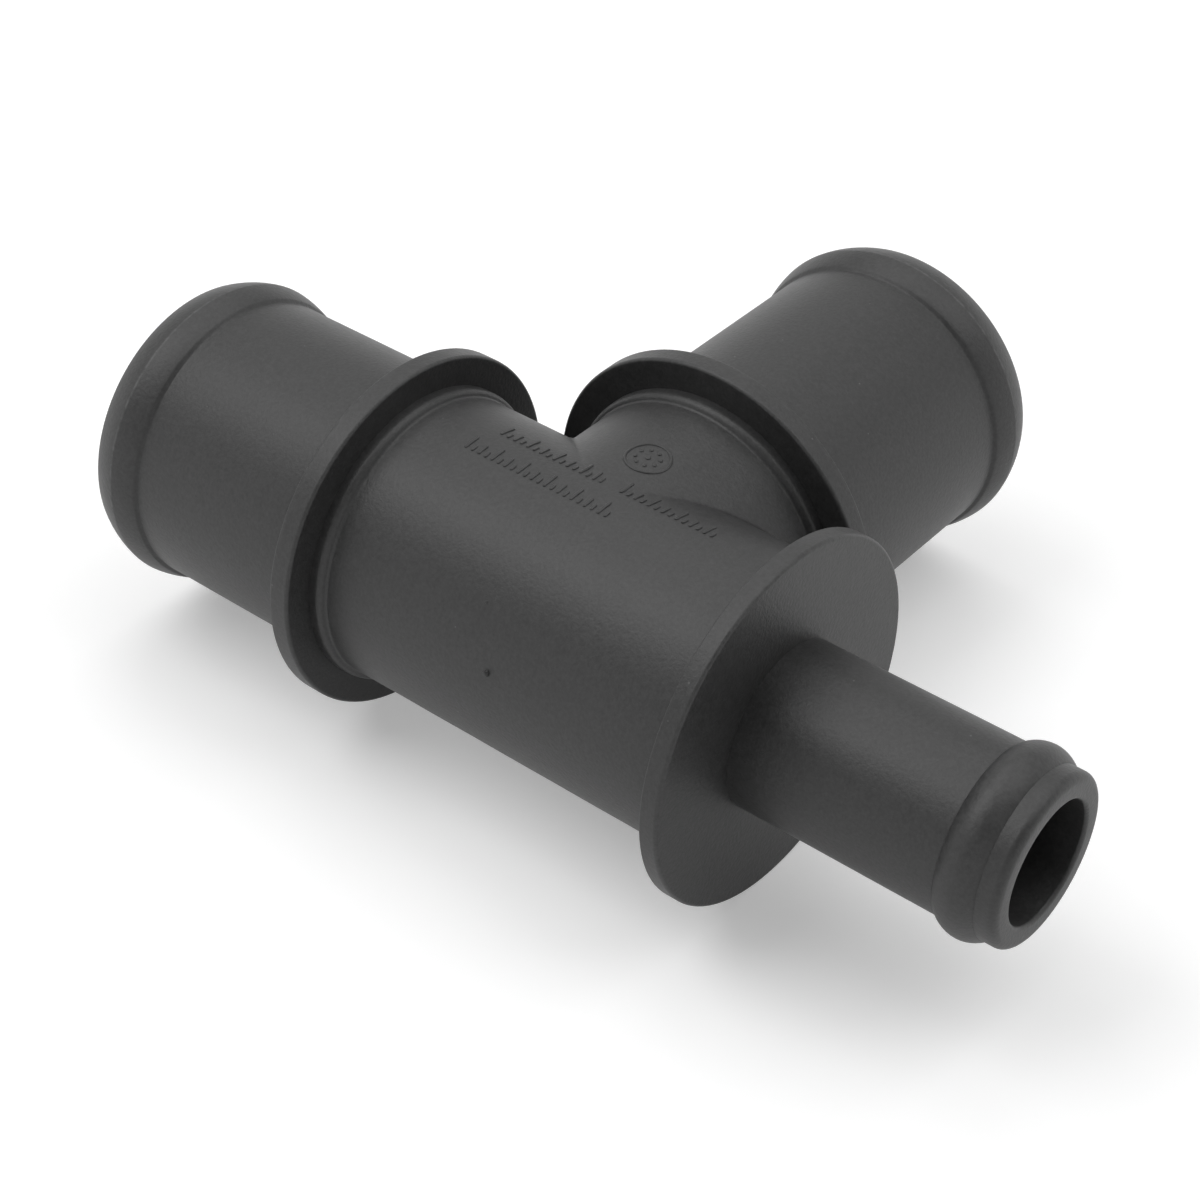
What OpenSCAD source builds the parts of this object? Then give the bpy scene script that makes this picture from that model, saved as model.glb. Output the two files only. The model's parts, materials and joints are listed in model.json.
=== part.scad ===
// Reducing hose tee, moulded in one piece.
// Two large hose ends stand at right angles, and a small one faces the first across the body.
// The run lies along X with the small end at +X, the branch points along +Y, and +Z is up.
// The origin is the middle of the outer box, on the surface that the three round stops rest on.

/* [Large hose ends] */
// Outside diameter of the tube that a large hose slides over
large_tube_d = 38; // [32:0.5:60]
// Wall of the large tubes
large_wall = 3; // [2:0.1:4.5]
// Free length of the large end on the run, from its hose stop to its end face
run_grip_l = 34.85; // [20:0.05:60]
// Free length of the branch, from its hose stop to its end face
branch_grip_l = 40.8; // [20:0.05:60]

/* [Bead of the large ends] */
// Height of the crest above the tube
bead_h = 1.25; // [0.5:0.05:2.5]
// Length of the rounded back of the bead
bead_back_l = 3.8; // [3:0.1:6]
// Length of the cone that leads the hose on
lead_l = 3.8; // [2:0.1:7]
// Angle of that cone to the axis
lead_angle = 19.5; // [10:0.5:25]
// Radius along the crest
crest_r = 0.6; // [0.2:0.1:1.5]
// Radius round the outer edge of the end face
end_edge_r = 0.5; // [0.2:0.1:1]

/* [Small hose end] */
// Outside diameter of the tube that the small hose slides over
small_tube_d = 21.3; // [14:0.1:28]
// Wall of the small tube
small_wall = 3.05; // [2:0.05:4.5]
// Free length of the small end, from the reducing disc to its end face
small_grip_l = 35.15; // [20:0.05:60]
// Height of the rounded bead above the small tube
small_bead_h = 1.15; // [0.5:0.05:2]
// Length of the rounded bead
small_bead_l = 5.2; // [4:0.1:8]
// Length of the plain tube between the bead and the end face
small_nose_l = 2.7; // [1.5:0.1:6]
// Radius round the outer edge of the small end face
small_nose_r = 1.1; // [0.3:0.1:1.4]
// Radius of the fillet at the root of the small tube
small_root_r = 0.4; // [0.3:0.1:2]

/* [Body] */
// How far the body lies below the surface of the large tube
body_step = 0.35; // [0:0.05:0.8]
// How far the branch's neck lies below the surface of the body
neck_step = 0.15; // [0.1:0.05:0.6]
// Length of the body between the branch's side and the stop or disc at either end of the run
run_neck_l = 8; // [3:0.1:20]
// Length of the branch's neck between the body and its hose stop
branch_neck_l = 4.5; // [3:0.1:20]
// Wall of the body and of the branch's neck
body_wall = 3; // [2:0.1:4.5]
// Thickness of the wall that closes the body round the small tube
end_wall = 3; // [2:0.1:5]
// Radius inside the body where its end wall starts
inner_corner_r = 2.5; // [0.5:0.1:3]
// How much wider than the small bore the funnel in the end wall opens
funnel_h = 1.8; // [0:0.1:2]

/* [Hose stops] */
// How far the stops and the disc stand above the large tube
stop_h = 4.3; // [2.5:0.1:8]
// Thickness of the two hose stops
stop_t = 2.8; // [1.6:0.1:5]
// Thickness of the reducing disc
disc_t = 2.4; // [1.6:0.1:5]
// Radius along the edges of a rim
rim_edge_r = 0.45; // [0.1:0.05:0.7]
// Radius of the fillet between a hose stop's outer face and the tube
stop_root_r = 0.8; // [0.3:0.1:1.5]
// Height above the body of the shoulder that backs a hose stop
shoulder_h = 0.85; // [0.3:0.05:2]
// Length of that shoulder, with the fillet at its foot
shoulder_l = 2; // [1.8:0.1:2.8]
// Radius round the shoulder's free edge
shoulder_edge_r = 0.6; // [0.2:0.05:0.8]
// Radius of the fillet at the shoulder's foot
shoulder_root_r = 0.8; // [0.2:0.05:1]

/* [Hidden] */

moulded_black = [0.09, 0.09, 0.092];
// How far a cut runs past an open end, and how far solids run into each other
past = 1;
lap = 1;
// How far below a surface the fillet that runs out on it starts
sink = 0.05;
// Facets round a full turn, and along one rounded edge
turn_fn = 128;
edge_steps = 6;

large_r = large_tube_d / 2;
body_r = large_r - body_step;
neck_r = body_r - neck_step;
stop_r = large_r + stop_h;
small_r = small_tube_d / 2;
large_bore_r = large_r - large_wall;
body_bore_r = body_r - body_wall;
neck_bore_r = neck_r - body_wall;
small_bore_r = small_r - small_wall;

// Distances from the point where the centre lines cross
run_face = body_r + run_neck_l;
branch_face = body_r + branch_neck_l;
disc_face = run_face + disc_t;
run_reach = run_face + stop_t + run_grip_l;
branch_reach = branch_face + stop_t + branch_grip_l;
small_reach = disc_face + small_grip_l;
body_bore_end = disc_face - end_wall;

// From the crossing of the centre lines to the origin
origin_shift = [(run_reach - small_reach) / 2, (stop_r - branch_reach) / 2, stop_r];

// Points of an arc about [r, z], in the plane of a profile
function arc(r, z, radius, from, to, steps = edge_steps) =
    [for (i = [0 : steps]) let (a = from + (to - from) * i / steps)
        [r + radius * cos(a), z + radius * sin(a)]];

// Profile of a large hose end from inside its stop: tube, rounded back, crest, cone and end face
function large_end_profile(face, reach) =
    let (top_r = large_r + bead_h,
         out = face + stop_t,
         crest_z = reach - lead_l,
         back_radius = (bead_back_l * bead_back_l + bead_h * bead_h) / (2 * bead_h),
         back_angle = asin(bead_back_l / back_radius),
         cone_drop = (lead_l - crest_r * sin(lead_angle)) * tan(lead_angle),
         face_r = top_r - crest_r * (1 - cos(lead_angle)) - cone_drop)
    concat([[0, out - lap], [large_r + stop_root_r, out - lap]],
           arc(large_r + stop_root_r, out + stop_root_r, stop_root_r, 270, 180),
           arc(top_r - back_radius, crest_z, back_radius, -back_angle, 0, 2 * edge_steps),
           arc(top_r - crest_r, crest_z, crest_r, 0, lead_angle),
           arc(face_r - end_edge_r, reach - end_edge_r, end_edge_r, lead_angle, 90),
           [[0, reach]]);

// Profile of the small hose end, from inside the disc to its end face
function small_end_profile() =
    let (half_l = small_bead_l / 2,
         bead_radius = (half_l * half_l + small_bead_h * small_bead_h) / (2 * small_bead_h),
         bead_angle = asin(half_l / bead_radius),
         bead_z = small_reach - small_nose_l - half_l)
    concat([[0, disc_face - lap], [small_r + small_root_r, disc_face - lap]],
           arc(small_r + small_root_r, disc_face + small_root_r, small_root_r, 270, 180),
           arc(small_r + small_bead_h - bead_radius, bead_z, bead_radius,
               -bead_angle, bead_angle, 2 * edge_steps),
           arc(small_r - small_nose_r, small_reach - small_nose_r, small_nose_r, 0, 90),
           [[0, small_reach]]);

// Profile of a round plate from z to z + t with both edges of its rim rounded
function plate_profile(z, t) =
    concat([[0, z]],
           arc(stop_r - rim_edge_r, z + rim_edge_r, rim_edge_r, -90, 0),
           arc(stop_r - rim_edge_r, z + t - rim_edge_r, rim_edge_r, 0, 90),
           [[0, z + t]]);

// Profile of the shoulder that rises on a fillet from a tube of radius r to a stop's face
function shoulder_profile(r, face) =
    let (both_r = shoulder_root_r + shoulder_edge_r,
         turn = acos(max(0, 1 - (shoulder_h + sink) / both_r)),
         start = face - shoulder_l,
         crest_z = start + both_r * sin(turn),
         edge = arc(r + shoulder_h - shoulder_edge_r, crest_z, shoulder_edge_r, -turn, 0))
    concat([[0, start]],
           arc(r - sink + shoulder_root_r, start, shoulder_root_r, 180, 180 - turn),
           [for (i = [1 : edge_steps]) edge[i]],
           [[r + shoulder_h, face + lap], [0, face + lap]]);

module revolve(profile) {
    rotate_extrude($fn = turn_fn) polygon(profile);
}

module along_x() {
    rotate([0, 90, 0]) children();
}

module along_minus_x() {
    rotate([0, -90, 0]) children();
}

module along_y() {
    rotate([-90, 0, 0]) children();
}

// One large hose end with its stop and the shoulder behind it, along +Z
module large_hose_end(face, reach, root_r) {
    revolve(large_end_profile(face, reach));
    revolve(plate_profile(face, stop_t));
    revolve(shoulder_profile(root_r, face));
}

// The reducing disc and the small hose end, along +Z
module small_hose_end() {
    revolve(plate_profile(run_face, disc_t));
    revolve(small_end_profile());
}

// The plain body between the stops, with the branch's neck
module body() {
    translate([-run_face - lap, 0, 0]) along_x()
        cylinder(r = body_r, h = 2 * (run_face + lap), $fn = turn_fn);
    along_y() cylinder(r = neck_r, h = branch_face + lap, $fn = turn_fn);
}

// The bore of one large tube, from its stop's outer face out past its end face, along +Z
module large_tube_bore(face, reach) {
    translate([0, 0, face + stop_t])
        cylinder(r = large_bore_r, h = reach - face - stop_t + past, $fn = turn_fn);
}

// The chamber inside the body, closed by the end wall with a rounded corner
module body_bore() {
    corner_x = body_bore_end - inner_corner_r;
    start = run_face + stop_t + lap;
    translate([-start, 0, 0]) along_x()
        cylinder(r = body_bore_r, h = start + corner_x, $fn = turn_fn);
    along_x() revolve(concat(
        [[0, 0], [body_bore_r, 0]],
        arc(body_bore_r - inner_corner_r, corner_x, inner_corner_r, 0, 90),
        [[0, body_bore_end]]));
}

module neck_bore() {
    cylinder(r = neck_bore_r, h = branch_face + stop_t + lap, $fn = turn_fn);
}

// The bore of the small tube, with a funnel through the end wall, along +Z
module small_tube_bore() {
    translate([0, 0, disc_face - lap])
        cylinder(r = small_bore_r, h = small_grip_l + lap + past, $fn = turn_fn);
    translate([0, 0, body_bore_end - lap])
        cylinder(r = small_bore_r + funnel_h, h = lap, $fn = turn_fn);
    translate([0, 0, body_bore_end])
        cylinder(r1 = small_bore_r + funnel_h, r2 = small_bore_r, h = end_wall, $fn = turn_fn);
}

module tee_body() {
    color(moulded_black) translate(origin_shift) difference() {
        union() {
            body();
            along_minus_x() large_hose_end(run_face, run_reach, body_r);
            along_y() large_hose_end(branch_face, branch_reach, neck_r);
            along_x() small_hose_end();
        }
        along_minus_x() large_tube_bore(run_face, run_reach);
        along_y() large_tube_bore(branch_face, branch_reach);
        along_x() small_tube_bore();
        body_bore();
        along_y() neck_bore();
    }
}

tee_body();
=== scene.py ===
"""Dresses the reducing hose tee, one piece of moulded black nylon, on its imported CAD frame.

Lengths on the fitting are millimetres from the crossing of its two centre lines, with the small
end along +X, the branch along +Y and +Z up, as in the part's source. Meshes are turned into
metres of the row frame as they are made.
"""

import json
import logging
import math
from abc import ABC, abstractmethod
from dataclasses import dataclass, field
from enum import Enum

import bmesh
import bpy
import numpy as np
from mathutils import Matrix, Vector

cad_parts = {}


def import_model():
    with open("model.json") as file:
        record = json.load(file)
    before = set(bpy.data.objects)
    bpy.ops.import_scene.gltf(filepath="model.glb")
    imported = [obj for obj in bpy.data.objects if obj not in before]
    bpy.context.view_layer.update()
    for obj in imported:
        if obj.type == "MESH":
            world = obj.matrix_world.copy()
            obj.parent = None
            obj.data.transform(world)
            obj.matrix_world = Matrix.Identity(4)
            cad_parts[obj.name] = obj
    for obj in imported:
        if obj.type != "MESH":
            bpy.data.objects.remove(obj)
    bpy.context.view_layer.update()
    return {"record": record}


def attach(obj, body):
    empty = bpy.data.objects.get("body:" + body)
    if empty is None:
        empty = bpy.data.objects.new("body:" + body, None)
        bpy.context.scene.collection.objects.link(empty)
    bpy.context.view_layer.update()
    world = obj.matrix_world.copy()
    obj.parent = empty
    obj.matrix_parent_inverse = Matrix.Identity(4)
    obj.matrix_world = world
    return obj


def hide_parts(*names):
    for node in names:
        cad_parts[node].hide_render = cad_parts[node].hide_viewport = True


log = logging.getLogger("hose_tee")

BODY = "root"
MM = 0.001
BODY_R = 18.65
NECK_R = 18.5


def direction(azimuth: float, elevation: float) -> Vector:
    """Finds the direction from the tee to a lamp or a camera, placed as a view is.

    Args:
        azimuth: Angle round the tee in degrees, from the front.
        elevation: Angle above the level in degrees.

    Returns:
        The direction, of length 1.
    """
    a, e = math.radians(azimuth), math.radians(elevation)
    return Vector((math.sin(a) * math.cos(e), -math.cos(a) * math.cos(e), math.sin(e)))


class Axis(Enum):
    """A centre line of the tee, as the outward, first and second directions of its rings."""

    RUN = ((-1, 0, 0), (0, 1, 0), (0, 0, 1))
    SMALL = ((1, 0, 0), (0, 1, 0), (0, 0, 1))
    BRANCH = ((0, 1, 0), (1, 0, 0), (0, 0, 1))

    def points(self, r: np.ndarray, z: np.ndarray, angles: np.ndarray) -> np.ndarray:
        """Turns radii and distances into points in space.

        Args:
            r: Radii from the centre line.
            z: Distances outward along it.
            angles: Angles from the first direction to the second, in radians.

        Returns:
            Points with a last axis of three, shaped as the inputs broadcast together.
        """
        out, first, second = (np.array(d, float) for d in self.value)
        r, z, angles = np.broadcast_arrays(r, z, angles)
        across = (r * np.cos(angles))[..., None] * first
        upward = (r * np.sin(angles))[..., None] * second
        return z[..., None] * out + across + upward


class Moulded(ABC):
    """A piece of the moulding, which is built about the crossing and then dressed."""

    @abstractmethod
    def build(self, origin: Vector) -> bpy.types.Object:
        """Builds the piece about the crossing of the centre lines and links it."""

    def dress(self, piece: bpy.types.Object, material: bpy.types.Material) -> None:
        """Gives the built piece its material and its body, and reports it.

        Args:
            piece: The piece.
            material: Its material.
        """
        piece.data.materials.clear()
        piece.data.materials.append(material)
        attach(piece, BODY)
        log.info("%s rides on %s", piece.name, BODY)


@dataclass
class Profile:
    """Points of a turned shape, each with how much it is lightened by rubbing and by painted
    highlight, from one end of the outline to the other.
    """

    points: list[tuple[float, float, float]] = field(default_factory=list)

    def to(self, r: float, z: float, steps: int = 1, wear_and_sheen: float = 0.0) -> "Profile":
        """Adds a straight run to a point.

        Args:
            r: Radius of its end.
            z: Distance of its end along the centre line.
            steps: Number of equal parts.
            wear_and_sheen: How much its end is lightened, by rubbing and by painted highlight,
                from 0 to 1.

        Returns:
            The profile itself.
        """
        if not self.points:
            self.points.append((r, z, wear_and_sheen))
            return self
        r0, z0, w0 = self.points[-1]
        for i in range(1, steps + 1):
            t = i / steps
            self.points.append((r0 + (r - r0) * t, z0 + (z - z0) * t, w0 + (wear_and_sheen - w0) * t))
        return self

    def arc(self, r: float, z: float, radius: float, start: float, end: float,
            steps: int = 5, wear_and_sheen: float = 0.0) -> "Profile":
        """Adds an arc about a centre.

        Args:
            r: Radius of the arc's centre.
            z: Distance of that centre along the centre line.
            radius: Radius of the arc.
            start: First angle in degrees, where 0 points outward and 90 along the line.
            end: Last angle in degrees.
            steps: Number of equal parts.
            wear_and_sheen: How much the middle of the arc is lightened, by rubbing and by painted
                highlight, from 0 to 1.

        Returns:
            The profile itself.
        """
        for i in range(steps + 1):
            a = math.radians(start + (end - start) * i / steps)
            here = wear_and_sheen * math.sin(math.pi * i / steps)
            self.points.append((r + radius * math.cos(a), z + radius * math.sin(a), here))
        return self

    def curve(self, length: float, start: float, end: float, steps: int = 8,
              wear_and_sheen: float = 0.0) -> "Profile":
        """Adds a run along the centre line whose slope turns evenly.

        Args:
            length: Length along the centre line.
            start: Slope at its start in degrees, where a rise away from the line is positive.
            end: Slope at its end in degrees.
            steps: Number of equal parts.
            wear_and_sheen: How much its end is lightened, by rubbing and by painted highlight,
                from 0 to 1.

        Returns:
            The profile itself.
        """
        part = length / steps
        for i in range(steps):
            r, z, before = self.points[-1]
            slope = math.radians(start + (end - start) * (i + 0.5) / steps)
            here = before + (wear_and_sheen - before) / (steps - i)
            self.points.append((r + part * math.tan(slope), z + part, here))
        return self

    def sweep(self, axis: Axis, angles: np.ndarray) -> tuple[np.ndarray, np.ndarray]:
        """Turns the profile about a centre line.

        Args:
            axis: The centre line.
            angles: Angles of the columns, in radians.

        Returns:
            A grid of points, one row per profile point, and its grid of wear.
        """
        table = np.array(self.points)
        grid = axis.points(table[:, :1], table[:, 1:2], angles[None, :])
        wear_and_sheen = np.repeat(table[:, 2:3], len(angles), axis=1)
        return grid, wear_and_sheen


@dataclass
class Shell:
    """Gathers closed bands of points into one welded mesh."""

    grids: list[np.ndarray] = field(default_factory=list)
    wear_and_sheen_bands: list[np.ndarray] = field(default_factory=list)

    def add(self, grid: np.ndarray, wear_and_sheen: np.ndarray | None = None) -> None:
        """Adds a band whose last column joins its first.

        Args:
            grid: Points in rows and columns.
            wear_and_sheen: How much each point is lightened, by rubbing and by painted highlight,
                none by default.
        """
        self.grids.append(grid)
        self.wear_and_sheen_bands.append(np.zeros(grid.shape[:2]) if wear_and_sheen is None else wear_and_sheen)

    def build(self, name: str, origin: Vector) -> bpy.types.Object:
        """Makes the mesh object.

        Args:
            name: Name of the piece.
            origin: The crossing of the centre lines in the row frame, in metres.

        Returns:
            The welded object, linked to the scene.
        """
        points: list[np.ndarray] = []
        faces: list[tuple[int, int, int, int]] = []
        start = 0
        for grid in self.grids:
            rows, columns = grid.shape[:2]
            points.append(grid.reshape(-1, 3))
            for i in range(rows - 1):
                for j in range(columns):
                    k = (j + 1) % columns
                    a, b = start + i * columns, start + (i + 1) * columns
                    faces.append((a + j, a + k, b + k, b + j))
            start += rows * columns
        place = np.concatenate(points) * MM + np.array(origin)
        mesh = bpy.data.meshes.new(name)
        mesh.from_pydata(place.tolist(), [], faces)
        # Per-point lightening of crests and edges, partly rubbing and partly painted highlight.
        wear_and_sheen = mesh.attributes.new("wear_and_sheen", "FLOAT", "POINT")
        wear_and_sheen.data.foreach_set("value", np.concatenate([w.ravel() for w in self.wear_and_sheen_bands]))
        return weld(mesh)


def weld(mesh: bpy.types.Mesh, gap: float = 0.004 * MM, sharp: float = 32.0) -> bpy.types.Object:
    """Welds a mesh, turns its faces outward and links it as an object.

    Args:
        mesh: The mesh.
        gap: Points closer than this are joined, in metres.
        sharp: Edges that bend more than this stay sharp, in degrees.

    Returns:
        The new object.
    """
    shape = bmesh.new()
    shape.from_mesh(mesh)
    bmesh.ops.remove_doubles(shape, verts=shape.verts, dist=gap)
    bmesh.ops.dissolve_degenerate(shape, edges=shape.edges, dist=gap / 4)
    bmesh.ops.recalc_face_normals(shape, faces=shape.faces)
    shape.to_mesh(mesh)
    open_edges = sum(1 for e in shape.edges if len(e.link_faces) != 2)
    shape.free()
    mesh.shade_smooth()
    mesh.set_sharp_from_angle(angle=math.radians(sharp))
    piece = bpy.data.objects.new(mesh.name, mesh)
    bpy.context.scene.collection.objects.link(piece)
    flat = piece.modifiers.new("flat_faces_stay_flat", "WEIGHTED_NORMAL")
    flat.keep_sharp = True
    log.info("%s: %d faces, %d open edges", mesh.name, len(mesh.polygons), open_edges)
    return piece


@dataclass(frozen=True)
class Columns:
    """Columns of the bands: evenly round the run, and grouped round the branch to meet them."""

    ring: int = 120
    seam: int = 22
    spread: float = 62.0

    def round_run(self) -> np.ndarray:
        """Angles of the columns of the run's rings, in radians."""
        return np.radians(-180 + 360 * np.arange(self.ring) / self.ring)

    def round_branch(self) -> np.ndarray:
        """Finds the angles of the columns of the branch's rings.

        Returns:
            The angles, in radians from +X towards +Z.
        """
        side = 2 * self.spread * np.arange(self.ring) / self.ring
        gap = (180 - 2 * self.spread) * np.arange(self.seam) / self.seam
        return np.radians(np.concatenate([
            side - self.spread, gap + self.spread,
            side + 180 - self.spread, gap + 180 + self.spread]))

    def outer_edge(self, x_small: float, x_run: float) -> tuple[np.ndarray, np.ndarray]:
        """Where each branch column ends on the unrolled body.

        Args:
            x_small: Distance of the body's end towards the small end.
            x_run: Distance of its end towards the run's large end.

        Returns:
            Distances along X and angles from +Y, in radians.
        """
        turn = self.round_run()
        run = np.arange(self.seam) / self.seam
        length = x_small + x_run
        x = np.concatenate([
            np.full(self.ring, x_small), x_small - length * run,
            np.full(self.ring, -x_run), -x_run + length * run])
        angle = np.concatenate([
            turn, np.full(self.seam, math.pi), -turn, np.full(self.seam, -math.pi)])
        return x, angle


@dataclass(frozen=True)
class Saddle:
    """The surface where the branch's neck runs into the body, with a rolled fillet between."""

    body_r: float
    neck_r: float
    fillet: float
    x_small: float
    x_run: float
    y_top: float
    neck_rows: int = 8
    fillet_rows: int = 7
    body_rows: int = 22

    def grid(self, columns: Columns) -> np.ndarray:
        """Lays the neck, the fillet and the body as one band.

        Args:
            columns: The columns that it shares with the rings.

        Returns:
            Points from the neck's free end to the body's ends.
        """
        turn = columns.round_branch()
        cos, sin = np.cos(turn), np.sin(turn)
        out_neck, out_body = self.neck_r + self.fillet, self.body_r + self.fillet
        centre = np.stack([
            out_neck * cos, np.sqrt(out_body**2 - (out_neck * sin) ** 2), out_neck * sin], axis=1)
        from_neck = np.stack([cos, np.zeros_like(cos), sin], axis=1)
        from_body = centre * np.array([0, 1, 1]) / out_body
        rows = []
        for t in np.linspace(0, 1, self.neck_rows, endpoint=False):
            y = self.y_top + (centre[:, 1] - self.y_top) * t
            rows.append(np.stack([self.neck_r * cos, y, self.neck_r * sin], axis=1))
        angle = np.arccos(np.clip((from_neck * from_body).sum(axis=1), -1, 1))[:, None]
        for t in np.linspace(0, 1, self.fillet_rows):
            towards = (np.sin((1 - t) * angle) * from_neck + np.sin(t * angle) * from_body)
            rows.append(centre - self.fillet * towards / np.sin(angle))
        x_end, turn_end = columns.outer_edge(self.x_small, self.x_run)
        turn_start = np.arctan2(centre[:, 2], centre[:, 1])
        for t in np.linspace(0, 1, self.body_rows + 1)[1:]:
            x = centre[:, 0] + (x_end - centre[:, 0]) * t
            a = turn_start + (turn_end - turn_start) * t
            rows.append(np.stack([x, self.body_r * np.cos(a), self.body_r * np.sin(a)], axis=1))
        return np.array(rows)


@dataclass(frozen=True)
class WearAndSheen:
    """How much the moulding is lightened on its crests and edges, by rubbing and by painted
    highlight, from 0 as moulded to 1 pale.
    """

    bead_crest: float = 0.6
    end_corner: float = 0.12
    mouth: float = 0.15
    stop_inner_edge: float = 0.06
    stop_outer_edge: float = 0.1
    disc_edge: float = 0.1
    small_bead: float = 0.05


@dataclass
class TeeSkin(Moulded):
    """The moulding itself: three hose ends on a hollow body, as one closed mesh."""

    large_r: float = 19.0
    large_bore_r: float = 16.0
    body_r: float = BODY_R
    body_bore_r: float = 15.65
    neck_r: float = NECK_R
    neck_bore_r: float = 15.5
    stop_r: float = 23.3
    stop_t: float = 2.8
    disc_t: float = 2.4
    small_r: float = 10.65
    small_bore_r: float = 7.6
    run_face: float = 26.65
    run_reach: float = 64.3
    branch_face: float = 23.15
    branch_reach: float = 66.75
    small_reach: float = 64.2
    bead_h: float = 1.25
    bead_back: float = 3.8
    bead_foot: float = 0.6
    foot_steps: int = 6
    back_slope: tuple[float, float] = (22.0, 7.0)
    lead: float = 3.8
    lead_slope: tuple[float, float] = (-10.0, -29.0)
    crest: float = 0.5
    end_edge: float = 0.5
    mouth_edge: float = 0.15
    small_mouth_edge: float = 0.5
    bead_fullness: tuple[float, float] = (0.4, 0.15)
    small_bead_h: float = 1.15
    small_bead: float = 5.2
    small_bead_steps: int = 18
    nose: float = 2.7
    nose_r: float = 1.1
    shoulder_h: float = 0.85
    shoulder: float = 2.25
    shoulder_edge: float = 1.0
    shoulder_root: float = 0.45
    rim_edge: float = 0.45
    rim_back_edge: float = 0.2
    wear_and_sheen_rim: float = 0.5
    stop_root: float = 0.8
    back_root: float = 0.4
    end_wall: float = 3.0
    corner_r: float = 2.5
    funnel: float = 1.8
    crease_r: float = 1.0
    inner_crease_r: float = 0.4
    wear_and_sheen: WearAndSheen = WearAndSheen()
    columns: Columns = Columns()

    def large_end(self, face: float, reach: float, root_r: float, root_z: float,
                  bore_r: float, bore_z: float) -> Profile:
        """Outline of a large hose end, from the body outside to the body's bore inside.

        Args:
            face: Distance of the stop's inner face.
            reach: Distance of the end face.
            root_r: Radius of the body or neck that it starts on.
            root_z: Distance where it starts.
            bore_r: Radius of the chamber that it ends in.
            bore_z: Distance where it ends.

        Returns:
            The profile.
        """
        out = face + self.stop_t
        line = Profile().to(root_r, root_z)
        self.shoulder_to_stop(line, root_r, face)
        # The stop's rim edges are painted lighter, partly as rubbing and partly as painted
        # highlight.
        line.arc(self.stop_r - self.rim_edge, face + self.rim_edge, self.rim_edge, -90, 0,
                 steps=7, wear_and_sheen=self.wear_and_sheen.stop_inner_edge)
        back = self.rim_back_edge
        line.to(self.stop_r, out - back - self.wear_and_sheen_rim)
        line.to(self.stop_r, out - back, steps=2, wear_and_sheen=self.wear_and_sheen.stop_outer_edge)
        line.arc(self.stop_r - back, out - back, back, 0, 90)
        line.to(self.large_r + self.stop_root, out, steps=4)
        line.arc(self.large_r + self.stop_root, out + self.stop_root, self.stop_root, 270, 180)
        self.large_bead(line, reach)
        line.to(self.large_bore_r + self.mouth_edge, reach, steps=2)
        line.arc(self.large_bore_r + self.mouth_edge, reach - self.mouth_edge, self.mouth_edge,
                 90, 180, steps=3, wear_and_sheen=self.wear_and_sheen.mouth)
        line.to(self.large_bore_r, out, steps=12)
        return line.to(bore_r, out).to(bore_r, bore_z, steps=2)

    def large_bead(self, line: Profile, reach: float) -> None:
        """Adds the tube, its bead and the rounded lead, up to the end face.

        The foot is a cubic that leaves the tube level and meets the back at its first slope.

        Args:
            line: The profile that is being drawn.
            reach: Distance of the end face.
        """
        crest_z = reach - self.lead
        half = self.crest / 2
        back = self.bead_back - self.bead_foot - half
        line.to(self.large_r, crest_z - self.bead_back, steps=12)
        rise = Profile([(0.0, 0.0, 0.0)]).curve(back, *self.back_slope).points[-1][0]
        end_slope = self.bead_foot * math.tan(math.radians(self.back_slope[0]))
        for t in np.linspace(0, 1, self.foot_steps + 1)[1:]:
            lift = (self.bead_h - rise) * (3 - 2 * t) * t**2 - end_slope * (1 - t) * t**2
            line.to(self.large_r + lift, crest_z - self.bead_back + self.bead_foot * t)
        line.curve(back, *self.back_slope)
        level = (self.back_slope[1] + self.lead_slope[0]) / 2
        # The crest and the end corner are painted lighter, partly as rubbing and partly as a
        # painted highlight line.
        line.curve(half, self.back_slope[1], level, steps=2, wear_and_sheen=self.wear_and_sheen.bead_crest)
        line.curve(half, level, self.lead_slope[0], steps=2)
        slope = math.radians(self.lead_slope[1])
        line.curve(self.lead - half - self.end_edge * (1 + math.sin(slope)), *self.lead_slope)
        corner_r = line.points[-1][0]
        line.arc(corner_r - self.end_edge * math.cos(slope), reach - self.end_edge,
                 self.end_edge, -self.lead_slope[1], 90, wear_and_sheen=self.wear_and_sheen.end_corner)

    def shoulder_to_stop(self, line: Profile, root_r: float, face: float) -> None:
        """Adds the shoulder that backs a stop, up to the stop's inner face.

        Args:
            line: The profile that is being drawn.
            root_r: Radius of the body or neck under the shoulder.
            face: Distance of the stop's inner face.
        """
        both = self.shoulder_root + self.shoulder_edge
        turn = math.acos(1 - self.shoulder_h / both)
        degrees = math.degrees(turn)
        start = face - self.shoulder
        crest = start + both * math.sin(turn)
        top = root_r + self.shoulder_h
        line.arc(root_r + self.shoulder_root, start, self.shoulder_root, 180, 180 - degrees,
                 steps=6)
        line.arc(top - self.shoulder_edge, crest, self.shoulder_edge, -degrees, 0, steps=10)
        line.to(top, face, steps=3)
        line.to(self.stop_r - self.rim_edge, face, steps=4)

    def small_end(self) -> Profile:
        """Outline of the disc and the small hose end.

        Returns:
            The profile, from the body outside to its chamber.
        """
        disc_face = self.run_face + self.disc_t
        half = self.small_bead / 2
        bead_z = self.small_reach - self.nose - half
        edge = self.rim_edge
        wall_z = disc_face - self.end_wall
        back = self.back_root
        line = Profile().to(self.body_r, self.run_face - back)
        line.arc(self.body_r + back, self.run_face - back, back, 180, 90)
        line.to(self.stop_r - edge, self.run_face, steps=4)
        rear = self.rim_back_edge
        line.arc(self.stop_r - rear, self.run_face + rear, rear, -90, 0)
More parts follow.
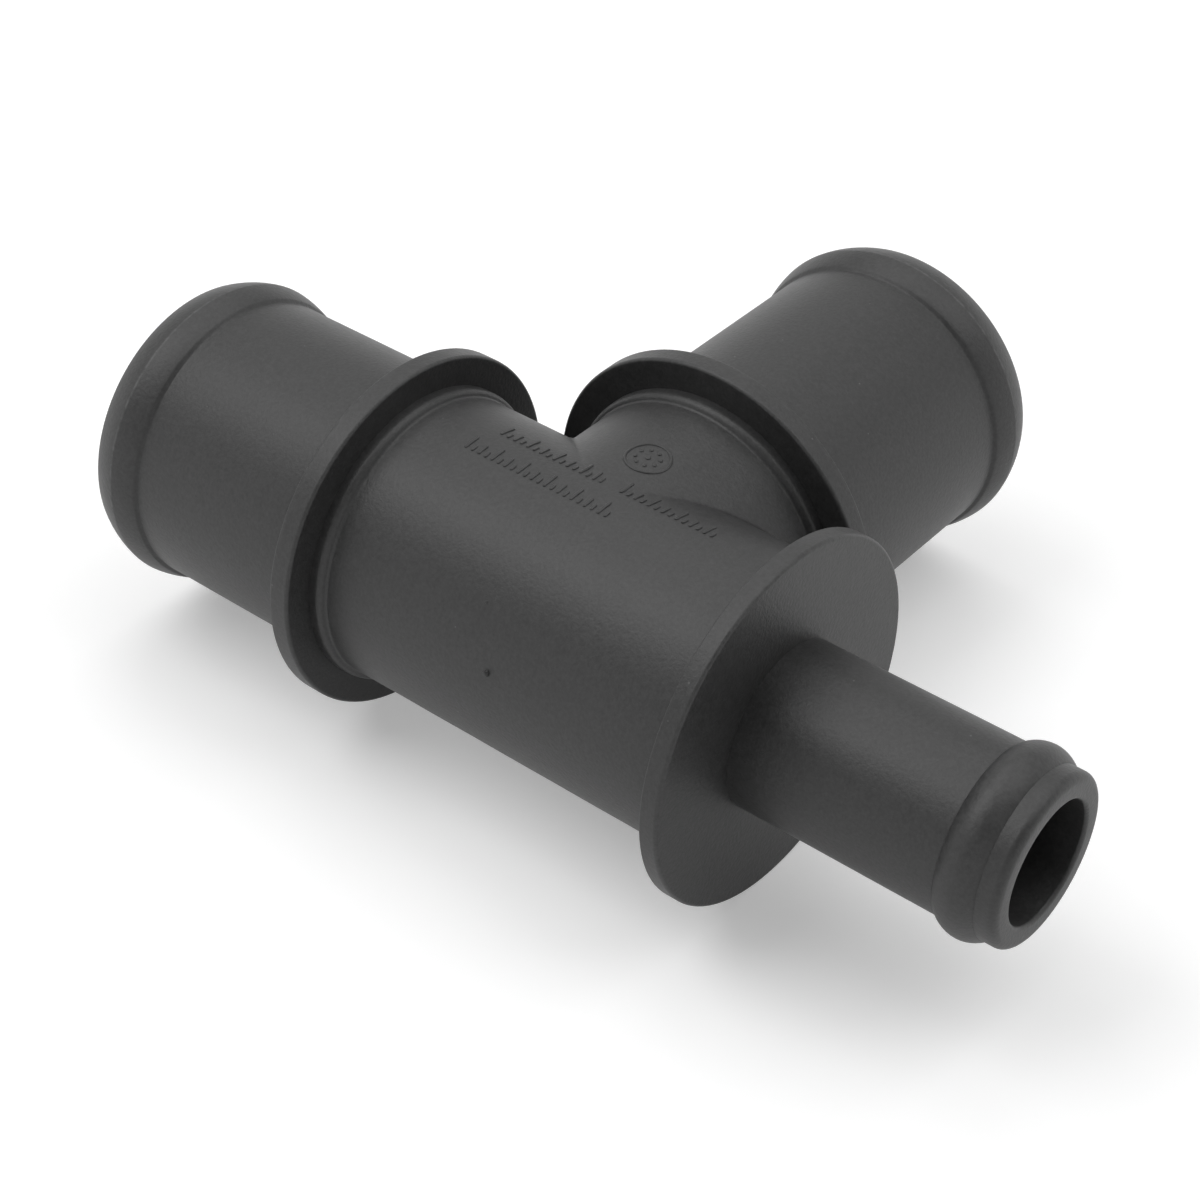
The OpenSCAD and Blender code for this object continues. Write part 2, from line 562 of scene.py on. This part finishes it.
        # The disc's edge and the small bead are painted lighter, partly as rubbing and partly as
        # painted highlight.
        line.arc(self.stop_r - edge, disc_face - edge, edge, 0, 90, steps=7,
                 wear_and_sheen=self.wear_and_sheen.disc_edge)
        line.to(self.small_r, disc_face, steps=8)
        line.to(self.small_r, bead_z - half, steps=12)
        for t in np.linspace(0, math.pi, self.small_bead_steps + 1)[1:-1]:
            along = -math.cos(t)
            full = math.sin(t)
            share = self.bead_fullness[0] if along < 0 else self.bead_fullness[1]
            height = full * share + (1 - along**2) * (1 - share)
            line.to(self.small_r + self.small_bead_h * height, bead_z + half * along,
                    wear_and_sheen=self.wear_and_sheen.small_bead * full)
        line.to(self.small_r, bead_z + half)
        line.arc(self.small_r - self.nose_r, self.small_reach - self.nose_r, self.nose_r,
                 0, 90, steps=7)
        lip = self.small_mouth_edge
        line.to(self.small_bore_r + lip, self.small_reach, steps=2)
        line.arc(self.small_bore_r + lip, self.small_reach - lip, lip, 90, 180, steps=6)
        line.to(self.small_bore_r, disc_face, steps=12)
        line.to(self.small_bore_r + self.funnel, wall_z, steps=3)
        line.to(self.body_bore_r - self.corner_r, wall_z, steps=3)
        line.arc(self.body_bore_r - self.corner_r, wall_z - self.corner_r, self.corner_r, 90, 0)
        return line

    def build(self, origin: Vector) -> bpy.types.Object:
        """Builds the moulding.

        Args:
            origin: The crossing of the centre lines in the row frame, in metres.

        Returns:
            The piece that stands for the CAD body.
        """
        shell = Shell()
        run_start = self.run_face - self.shoulder
        branch_start = self.branch_face - self.shoulder
        run_inside = self.run_face + self.stop_t
        branch_inside = self.branch_face + self.stop_t
        chamber_end = self.run_face + self.disc_t - self.end_wall - self.corner_r
        outside = Saddle(self.body_r, self.neck_r, self.crease_r,
                         self.run_face - self.back_root, run_start, branch_start)
        inside = Saddle(self.body_bore_r, self.neck_bore_r, self.inner_crease_r,
                        chamber_end, run_inside, branch_inside)
        shell.add(outside.grid(self.columns))
        shell.add(inside.grid(self.columns))
        run = self.large_end(self.run_face, self.run_reach, self.body_r, run_start,
                             self.body_bore_r, run_inside)
        branch = self.large_end(self.branch_face, self.branch_reach, self.neck_r, branch_start,
                                self.neck_bore_r, branch_inside)
        shell.add(*run.sweep(Axis.RUN, self.columns.round_run()))
        shell.add(*branch.sweep(Axis.BRANCH, self.columns.round_branch()))
        shell.add(*self.small_end().sweep(Axis.SMALL, self.columns.round_run()))
        return shell.build("tee_skin", origin)

    def dress(self, piece: bpy.types.Object, material: bpy.types.Material) -> None:
        """Dresses the moulding and puts it in the place of the CAD body.

        Args:
            piece: The piece.
            material: Its material.
        """
        super().dress(piece, material)
        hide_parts("tee_body")


class Tick(Enum):
    """Length of a raised tick, in the manner of a plain scale."""

    LONG = 2.5
    MIDDLE = 1.8
    SHORT = 1.1


@dataclass(frozen=True)
class MarkField:
    """The top of the tee, which the raised marks follow, and how they stand on it."""

    foot: float = -0.08
    side: float = 0.07
    top: float = 0.14
    inset: float = 0.1

    def lift(self, flat: np.ndarray, height: float) -> np.ndarray:
        """Puts flat points on the top of the body or the neck.

        Args:
            flat: Points as X and Y.
            height: Height above the surface.

        Returns:
            Points as X, Y and Z.
        """
        x, y = flat[:, 0], flat[:, 1]
        z = np.maximum(np.sqrt(BODY_R**2 - y**2), np.sqrt(NECK_R**2 - x**2))
        return np.column_stack([x, y, z + height])


@dataclass
class Relief:
    """Gathers small closed raised shapes into one mesh."""

    where: MarkField = MarkField()
    points: list[np.ndarray] = field(default_factory=list)
    faces: list[tuple[int, ...]] = field(default_factory=list)
    count: int = 0
    end_step: float = 22.5
    ring_step: float = 7.5
    side_parts: int = 4

    def loops(self, rings: list[np.ndarray], closed: bool = False) -> None:
        """Adds rings of points as a wall, capped at both ends or closed on itself.

        Args:
            rings: Rings of the same number of points.
            closed: Whether the last ring joins the first, as in a torus.
        """
        size = len(rings[0])
        start = self.count
        pairs = [(i, i + 1) for i in range(len(rings) - 1)]
        if closed:
            pairs.append((len(rings) - 1, 0))
        for low, high in pairs:
            for j in range(size):
                k = (j + 1) % size
                self.faces.append((start + low * size + j, start + low * size + k,
                                   start + high * size + k, start + high * size + j))
        self.points.extend(rings)
        self.count += size * len(rings)
        if closed:
            return
        for ring, at in ((rings[0], start), (rings[-1], start + size * (len(rings) - 1))):
            self.points.append(ring.mean(axis=0)[None, :])
            for j in range(size):
                self.faces.append((at + j, at + (j + 1) % size, self.count))
            self.count += 1

    def stroke(self, x: float, y: float, length: float, width: float) -> None:
        """Adds a raised bar with round ends that points along Y, or a dot.

        Args:
            x: Its centre along X.
            y: Its centre along Y.
            length: Straight length between the round ends, 0 for a dot.
            width: Its width.
        """
        half = length / 2
        turn = np.radians(np.arange(0, 180 + self.end_step, self.end_step))
        cos, sin = np.cos(turn), np.sin(turn)
        sides = np.linspace(half, -half, self.side_parts + 1)[1:-1] if length else np.empty(0)
        rings = []
        mark = self.where
        for height, shrink in ((mark.foot, 0.0), (mark.side, 0.0), (mark.top, mark.inset)):
            r = width / 2 - shrink
            flat = np.concatenate([
                np.column_stack([r * cos, half + r * sin]),
                np.column_stack([np.full_like(sides, -r), sides]),
                np.column_stack([-r * cos, -half - r * sin]),
                np.column_stack([np.full_like(sides, r), -sides])])
            rings.append(mark.lift(flat + (x, y), height))
        self.loops(rings)

    def ring(self, x: float, y: float, radius: float, width: float) -> None:
        """Adds a raised ring.

        Args:
            x: Its centre along X.
            y: Its centre along Y.
            radius: Radius of the middle of its stroke.
            width: Width of its stroke.
        """
        turn = np.radians(np.arange(0, 360, self.ring_step))
        around = np.column_stack([np.cos(turn), np.sin(turn)])
        half, mark = width / 2, self.where
        section = ((-half, mark.foot), (-half, mark.side), (mark.inset - half, mark.top),
                   (half - mark.inset, mark.top), (half, mark.side), (half, mark.foot))
        self.loops([mark.lift(around * (radius + r) + (x, y), h) for r, h in section],
                   closed=True)

    def build(self, name: str, origin: Vector) -> bpy.types.Object:
        """Makes the mesh object.

        Args:
            name: Name of the piece.
            origin: The crossing of the centre lines in the row frame, in metres.

        Returns:
            The object, linked to the scene.
        """
        place = np.concatenate(self.points) * MM + np.array(origin)
        mesh = bpy.data.meshes.new(name)
        mesh.from_pydata(place.tolist(), [], self.faces)
        return weld(mesh)


@dataclass(frozen=True)
class TickRow(Moulded):
    """A row of plain raised ticks along X on the top of the body."""

    name: str
    x_start: float
    x_end: float
    y_foot: float
    pitch: float = 1.0
    width: float = 0.42
    order: tuple[Tick, ...] = (Tick.LONG, Tick.SHORT, Tick.MIDDLE, Tick.SHORT)

    def build(self, origin: Vector) -> bpy.types.Object:
        """Builds the row.

        Args:
            origin: The crossing of the centre lines in the row frame, in metres.

        Returns:
            The piece.
        """
        relief = Relief()
        for i in range(int((self.x_end - self.x_start) / self.pitch) + 1):
            length = self.order[i % len(self.order)].value
            relief.stroke(self.x_start + i * self.pitch, self.y_foot + length / 2,
                          length - self.width, self.width)
        return relief.build(self.name, origin)


@dataclass(frozen=True)
class DialMark(Moulded):
    """A plain raised ring with dots in it, on the top of the neck."""

    x: float = 0.9
    y: float = 10.2
    radius: float = 2.75
    width: float = 0.36
    dots: int = 8
    dots_radius: float = 1.55
    dot: float = 0.5
    middle_dot: float = 0.75

    def build(self, origin: Vector) -> bpy.types.Object:
        """Builds the ring and its dots.

        Args:
            origin: The crossing of the centre lines in the row frame, in metres.

        Returns:
            The piece.
        """
        relief = Relief()
        relief.ring(self.x, self.y, self.radius, self.width)
        relief.stroke(self.x, self.y, 0.0, self.middle_dot)
        for i in range(self.dots):
            a = 2 * math.pi * (i + 0.5) / self.dots
            relief.stroke(self.x + self.dots_radius * math.cos(a),
                          self.y + self.dots_radius * math.sin(a), 0.0, self.dot)
        return relief.build("neck_dial_mark", origin)


@dataclass(frozen=True)
class GatePip(Moulded):
    """A torn-off moulding pip on the side of the body."""

    name: str
    x: float
    rise: float
    width: float
    height: float
    lean: float = 0.25
    ragged: float = 0.12
    lobes: int = 3
    twist: float = 5.0
    corners: int = 12
    outline: tuple[tuple[float, float], ...] = (
        (1.0, -0.2), (0.95, 0.1), (0.8, 0.6), (0.55, 0.95), (0.25, 1.0))

    def build(self, origin: Vector) -> bpy.types.Object:
        """Builds the pip.

        Args:
            origin: The crossing of the centre lines in the row frame, in metres.

        Returns:
            The piece.
        """
        a = math.radians(self.rise)
        out = np.array([0, -math.cos(a), math.sin(a)])
        along, up = np.array([1.0, 0, 0]), np.array([0, math.sin(a), math.cos(a)])
        foot = np.array([self.x, 0, 0]) + out * BODY_R
        turn = np.radians(360 * np.arange(self.corners) / self.corners)
        r = self.width / 2
        rings = []
        for share, level in self.outline:
            uneven = 1 + self.ragged * np.sin(self.lobes * turn + self.twist * share)
            centre = foot + out * self.height * level - along * self.lean * r * max(level, 0)
            rings.append(centre + (r * share * uneven * np.cos(turn))[:, None] * along
                         + (r * share * uneven * np.sin(turn))[:, None] * up)
        relief = Relief()
        relief.loops(rings)
        return relief.build(self.name, origin)


def nodes_of(material: bpy.types.Material) -> tuple[bpy.types.NodeTree, bpy.types.Node]:
    """Empties a material down to its Principled shader and output.

    Args:
        material: The material.

    Returns:
        Its node tree and the shader.
    """
    material.use_nodes = True
    tree = material.node_tree
    tree.nodes.clear()
    shader = tree.nodes.new("ShaderNodeBsdfPrincipled")
    output = tree.nodes.new("ShaderNodeOutputMaterial")
    tree.links.new(shader.outputs["BSDF"], output.inputs["Surface"])
    return tree, shader


def reckon(tree: bpy.types.NodeTree, operation: str, first: bpy.types.NodeSocket | float,
           second: bpy.types.NodeSocket | float) -> bpy.types.NodeSocket:
    """Adds a Math node.

    Args:
        tree: The node tree.
        operation: The node's operation.
        first: A socket or a plain number.
        second: A socket or a plain number.

    Returns:
        The socket with the result.
    """
    node = tree.nodes.new("ShaderNodeMath")
    node.operation = operation
    for entry, value in zip(node.inputs, (first, second)):
        if isinstance(value, bpy.types.NodeSocket):
            tree.links.new(value, entry)
        else:
            entry.default_value = value
    return node.outputs[0]


def ranged(tree: bpy.types.NodeTree, value: bpy.types.NodeSocket, before: tuple[float, float],
           after: tuple[float, float]) -> bpy.types.NodeSocket:
    """Adds a Map Range node.

    Args:
        tree: The node tree.
        value: The socket that it reads.
        before: The two values that are mapped.
        after: What they become.

    Returns:
        The socket with the result.
    """
    node = tree.nodes.new("ShaderNodeMapRange")
    for name, number in zip(("From Min", "From Max", "To Min", "To Max"), before + after):
        node.inputs[name].default_value = number
    tree.links.new(value, node.inputs["Value"])
    return node.outputs["Result"]


def greyed(tree: bpy.types.NodeTree, base: bpy.types.NodeSocket, grey: float,
           mask: bpy.types.NodeSocket) -> bpy.types.NodeSocket:
    """Mixes a plain grey into a colour.

    Args:
        tree: The node tree.
        base: The colour.
        grey: Level of the grey.
        mask: Where it shows, from 0 to 1.

    Returns:
        The mixed colour.
    """
    mix = tree.nodes.new("ShaderNodeMix")
    mix.data_type = "RGBA"
    mix.inputs["B"].default_value = (grey, grey, grey, 1)
    tree.links.new(mask, mix.inputs["Factor"])
    tree.links.new(base, mix.inputs["A"])
    return mix.outputs["Result"]


def moulded_grain(speck_rim: tuple[float, float] = (0.045, 0.025),
                  bare_share: float = 0.5) -> bpy.types.NodeTree:
    """Builds the group for the fine matt grain that the mould leaves on the surface.

    Args:
        speck_rim: Where a speck starts and where it is full, in parts of the speck spacing.
        bare_share: Share of the cells that have no speck.

    Returns:
        A group with inputs Vector, Grain size, Mottle size and Speck spacing, all lengths in
        metres, and outputs Grain, Mottle and Speck, all from 0 to 1.
    """
    group = bpy.data.node_groups.new("moulded_grain", "ShaderNodeTree")
    face = group.interface
    face.new_socket("Vector", in_out="INPUT", socket_type="NodeSocketVector")
    sizes = (("Grain size", 0.0003), ("Mottle size", 0.0015), ("Speck spacing", 0.0035))
    for name, value in sizes:
        face.new_socket(name, in_out="INPUT", socket_type="NodeSocketFloat").default_value = value
    for name in ("Grain", "Mottle", "Speck"):
        face.new_socket(name, in_out="OUTPUT", socket_type="NodeSocketFloat")
    new, link = group.nodes.new, group.links.new
    source, sink = new("NodeGroupInput"), new("NodeGroupOutput")
    scales = {name: reckon(group, "DIVIDE", 1.0, source.outputs[name]) for name, _ in sizes}
    for name, detail, rough in (("Grain", 2.0, 0.6), ("Mottle", 4.0, 0.55)):
        noise = new("ShaderNodeTexNoise")
        noise.inputs["Detail"].default_value = detail
        noise.inputs["Roughness"].default_value = rough
        link(source.outputs["Vector"], noise.inputs["Vector"])
        link(scales[name + " size"], noise.inputs["Scale"])
        link(noise.outputs["Fac"], sink.inputs[name])
    cells = new("ShaderNodeTexVoronoi")
    link(source.outputs["Vector"], cells.inputs["Vector"])
    link(scales["Speck spacing"], cells.inputs["Scale"])
    spot = ranged(group, cells.outputs["Distance"], speck_rim, (0.0, 1.0))
    chance = new("ShaderNodeSeparateColor")
    link(cells.outputs["Color"], chance.inputs["Color"])
    some = reckon(group, "GREATER_THAN", chance.outputs["Red"], bare_share)
    link(reckon(group, "MULTIPLY", spot, some), sink.inputs["Speck"])
    return group


@dataclass(frozen=True)
class NylonFinish:
    """Matt black moulded nylon: base colour, gloss and the depth of its grain."""

    name: str
    grey: float = 0.03
    mottle: float = 0.16
    speckle: float = 0.22
    roughness: float = 0.48
    roughness_spread: float = 0.06
    specular: float = 0.5
    grain_size: float = 0.00045
    mottle_size: float = 0.001
    grain_depth: float = 0.000045
    # Grey of the lightened crests and edges and how unevenly it shows, partly rubbing and partly
    # painted highlight.
    wear_and_sheen_grey: float = 0.13
    wear_and_sheen_least: float = 0.25
    wear_and_sheen_range: tuple[float, float] = (0.4, 0.6)
    speck_grey: float = 0.085
    speck_spacing: float = 0.0035
    noise_range: tuple[float, float] = (0.3, 0.7)

    def make(self, grain: bpy.types.NodeTree) -> bpy.types.Material:
        """Builds the material.

        Args:
            grain: The shared grain group.

        Returns:
            The material.
        """
        material = bpy.data.materials.new(self.name)
        tree, shader = nodes_of(material)
        new, link = tree.nodes.new, tree.links.new
        where = new("ShaderNodeTexCoord")
        effect = new("ShaderNodeGroup")
        effect.node_tree = grain
        effect.inputs["Grain size"].default_value = self.grain_size
        effect.inputs["Mottle size"].default_value = self.mottle_size
        effect.inputs["Speck spacing"].default_value = self.speck_spacing
        link(where.outputs["Object"], effect.inputs["Vector"])
        grain_mask, mottle_mask = effect.outputs["Grain"], effect.outputs["Mottle"]
        patch = ranged(tree, mottle_mask, self.noise_range,
                       (self.grey * (1 - self.mottle), self.grey * (1 + self.mottle)))
        fine = ranged(tree, grain_mask, self.noise_range, (1 - self.speckle, 1 + self.speckle))
        colour = reckon(tree, "MULTIPLY", patch, fine)
        # Crests and edges go paler where the mesh marks them: partly rubbing, partly painted
        # highlight.
        wear_and_sheen_node = new("ShaderNodeAttribute")
        wear_and_sheen_node.attribute_name = "wear_and_sheen"
        uneven = ranged(tree, mottle_mask, self.wear_and_sheen_range, (self.wear_and_sheen_least, 1.0))
        wear_and_sheen_mask = reckon(tree, "MULTIPLY", wear_and_sheen_node.outputs["Fac"], uneven)
        colour = greyed(tree, colour, self.wear_and_sheen_grey, wear_and_sheen_mask)
        colour = greyed(tree, colour, self.speck_grey, effect.outputs["Speck"])
        link(colour, shader.inputs["Base Color"])
        half = self.roughness_spread / 2
        matt = ranged(tree, mottle_mask, self.noise_range,
                      (self.roughness - half, self.roughness + half))
        link(matt, shader.inputs["Roughness"])
        bump = new("ShaderNodeBump")
        bump.inputs["Strength"].default_value = 1.0
        bump.inputs["Distance"].default_value = self.grain_depth
        link(grain_mask, bump.inputs["Height"])
        link(bump.outputs["Normal"], shader.inputs["Normal"])
        shader.inputs["Specular IOR Level"].default_value = self.specular
        return material


def seen_directly(tree: bpy.types.NodeTree) -> bpy.types.NodeSocket:
    """Adds the mask of rays that see a surface directly, in a reflection or through glass.

    Args:
        tree: The material's or world's node tree.

    Returns:
        The socket, 1 for camera, glossy and transmission rays and 0 for the rest.
    """
    path = tree.nodes.new("ShaderNodeLightPath")
    seen = path.outputs["Is Camera Ray"]
    for name in ("Is Glossy Ray", "Is Transmission Ray"):
        seen = reckon(tree, "MAXIMUM", seen, path.outputs[name])
    return seen


@dataclass(frozen=True)
class CardFinish:
    """Pale matt card that keeps the shadow near the tee and is white further off."""

    name: str
    grey: float = 0.8
    roughness: float = 0.9
    specular: float = 0.1
    fill: float = 0.36
    fill_rise: tuple[float, float] = (0.15, 0.6)

    def make(self) -> bpy.types.Material:
        """Builds the material, whose fill is only seen directly and rises with distance.

        Returns:
            The material.
        """
        material = bpy.data.materials.new(self.name)
        tree, shader = nodes_of(material)
        new, link = tree.nodes.new, tree.links.new
        shader.inputs["Base Color"].default_value = (self.grey, self.grey, self.grey, 1)
        shader.inputs["Roughness"].default_value = self.roughness
        shader.inputs["Specular IOR Level"].default_value = self.specular
        shader.inputs["Emission Color"].default_value = (1, 1, 1, 1)
        where = new("ShaderNodeTexCoord")
        reach = new("ShaderNodeVectorMath")
        reach.operation = "LENGTH"
        link(where.outputs["Object"], reach.inputs[0])
        far = ranged(tree, reach.outputs["Value"], self.fill_rise, (self.fill, 1.0))
        fill = reckon(tree, "MULTIPLY", seen_directly(tree), far)
        link(fill, shader.inputs["Emission Strength"])
        return material


@dataclass(frozen=True)
class Softbox:
    """A round softbox that faces the tee, placed by angles in degrees as a view is."""

    name: str
    azimuth: float
    elevation: float
    power: float
    distance: float = 0.9
    width: float = 0.6

    def build(self, target: Vector) -> None:
        """Makes the lamp.

        Args:
            target: The point that it faces, in metres.
        """
        away = direction(self.azimuth, self.elevation)
        lamp = bpy.data.lights.new(self.name, "AREA")
        lamp.shape = "DISK"
        lamp.size = self.width
        lamp.energy = self.power
        box = bpy.data.objects.new(self.name, lamp)
        box.location = target + away * self.distance
        box.rotation_mode = "QUATERNION"
        box.rotation_quaternion = away.to_track_quat("Z", "Y")
        bpy.context.scene.collection.objects.link(box)


@dataclass(frozen=True)
class Studio:
    """A plain pale table under a ring of softboxes that leaves the camera's side dark."""

    floor_side: float = 40.0
    card: CardFinish = CardFinish("pale_card")
    room: float = 0.0
    backdrop_rise: tuple[float, float] = (20.0, 35.0)
    aim_height: float = 0.02
    softboxes: tuple[Softbox, ...] = (
        Softbox("overhead", 0, 90, 1.47),
        Softbox("high_front_right", 84, 55, 0.45),
        Softbox("high_right", 129, 55, 1.87),
        Softbox("high_back_right", 174, 55, 0.65),
        Softbox("high_back", 219, 55, 1.38),
        Softbox("high_back_left", 264, 55, 0.87),
        Softbox("high_left", 309, 55, 2.98),
        Softbox("high_front_left", 354, 55, 0.43),
        Softbox("low_right", 129, 20, 0.24),
        Softbox("low_left", 309, 20, 0.2),
    )

    def build(self) -> None:
        """Makes the floor, the lamps and the world."""
        mesh = bpy.data.meshes.new("table_top")
        half = self.floor_side / 2
        corners = [(-half, -half, 0), (half, -half, 0), (half, half, 0), (-half, half, 0)]
        mesh.from_pydata(corners, [], [(0, 1, 2, 3)])
        table = bpy.data.objects.new("table_top", mesh)
        bpy.context.scene.collection.objects.link(table)
        mesh.materials.append(self.card.make())
        for softbox in self.softboxes:
            softbox.build(Vector((0, 0, self.aim_height)))
        self.room_world()

    def room_world(self) -> None:
        """Sets a dark room with a low white backdrop, seen directly, in gloss and in glass."""
        world = bpy.data.worlds.new("dark_room")
        bpy.context.scene.world = world
        world.use_nodes = True
        tree = world.node_tree
        back = tree.nodes["Background"]
        back.inputs["Color"].default_value = (1, 1, 1, 1)
        new, link = tree.nodes.new, tree.links.new
        where = new("ShaderNodeTexCoord")
        parts = new("ShaderNodeSeparateXYZ")
        link(where.outputs["Generated"], parts.inputs["Vector"])
        low, high = (math.sin(math.radians(v)) for v in self.backdrop_rise)
        backdrop = ranged(tree, parts.outputs["Z"], (low, high), (1.0, self.room))
        link(reckon(tree, "MULTIPLY", backdrop, seen_directly(tree)), back.inputs["Strength"])


@dataclass(frozen=True)
class PhotoCamera:
    """The photograph's view, as angles and millimetres about the crossing of the centre lines."""

    azimuth: float = 38.965
    elevation: float = 38.884
    roll: float = 0.575
    aim: tuple[float, float, float] = (0.368, 2.215, 1.849)
    distance: float = 308.669
    lens: float = 77.917
    sensor: float = 36.0
    clip: tuple[float, float] = (0.01, 200.0)

    def build(self, origin: Vector) -> None:
        """Makes the camera and gives it to the scene.

        Args:
            origin: The crossing of the centre lines in the row frame, in metres.
        """
        a, roll = math.radians(self.azimuth), math.radians(self.roll)
        back = direction(self.azimuth, self.elevation)
        level = Vector((math.cos(a), math.sin(a), 0))
        upright = back.cross(level)
        right = level * math.cos(roll) + upright * math.sin(roll)
        up = back.cross(right)
        turn = Matrix((right, up, back)).transposed()
        place = origin + Vector(self.aim) * MM + back * self.distance * MM
        data = bpy.data.cameras.new("photo_camera")
        data.lens = self.lens
        data.sensor_width = self.sensor
        data.clip_start, data.clip_end = self.clip
        camera = bpy.data.objects.new("photo_camera", data)
        camera.matrix_world = Matrix.Translation(place) @ turn.to_4x4()
        bpy.context.scene.collection.objects.link(camera)
        bpy.context.scene.camera = camera


PIECES: tuple[Moulded, ...] = (
    TeeSkin(),
    TickRow("run_tick_row", x_start=-15.4, x_end=0.2, y_foot=2.8),
    TickRow("middle_tick_row", x_start=-16.8, x_end=4.3, y_foot=-2.0),
    TickRow("small_tick_row", x_start=2.6, x_end=16.4, y_foot=2.9),
    DialMark(),
    GatePip("gate_pip", x=0.5, rise=12.1, width=0.85, height=0.45),
    GatePip("faint_pip", x=-2.1, rise=36.0, width=0.5, height=0.1),
)


def crossing(record: dict) -> Vector:
    """Finds where the two centre lines cross.

    Args:
        record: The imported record.

    Returns:
        The crossing in the row frame, in metres.
    """
    mounts = {m["name"]: m["pos_m"] for m in record["mounts"]}
    along_y, along_x = mounts["branch_bore"], mounts["run_bore"]
    return Vector((along_y[0], along_x[1], along_x[2]))


def main() -> None:
    """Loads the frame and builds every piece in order."""
    logging.basicConfig(level=logging.INFO, format="%(name)s: %(message)s")
    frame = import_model()
    origin = crossing(frame["record"])
    bpy.context.scene.view_settings.view_transform = "Standard"
    PhotoCamera().build(origin)
    nylon = NylonFinish("black_nylon").make(moulded_grain())
    for piece in PIECES:
        piece.dress(piece.build(origin), nylon)
    Studio().build()
    bpy.context.view_layer.update()


if __name__ == "__main__":
    main()
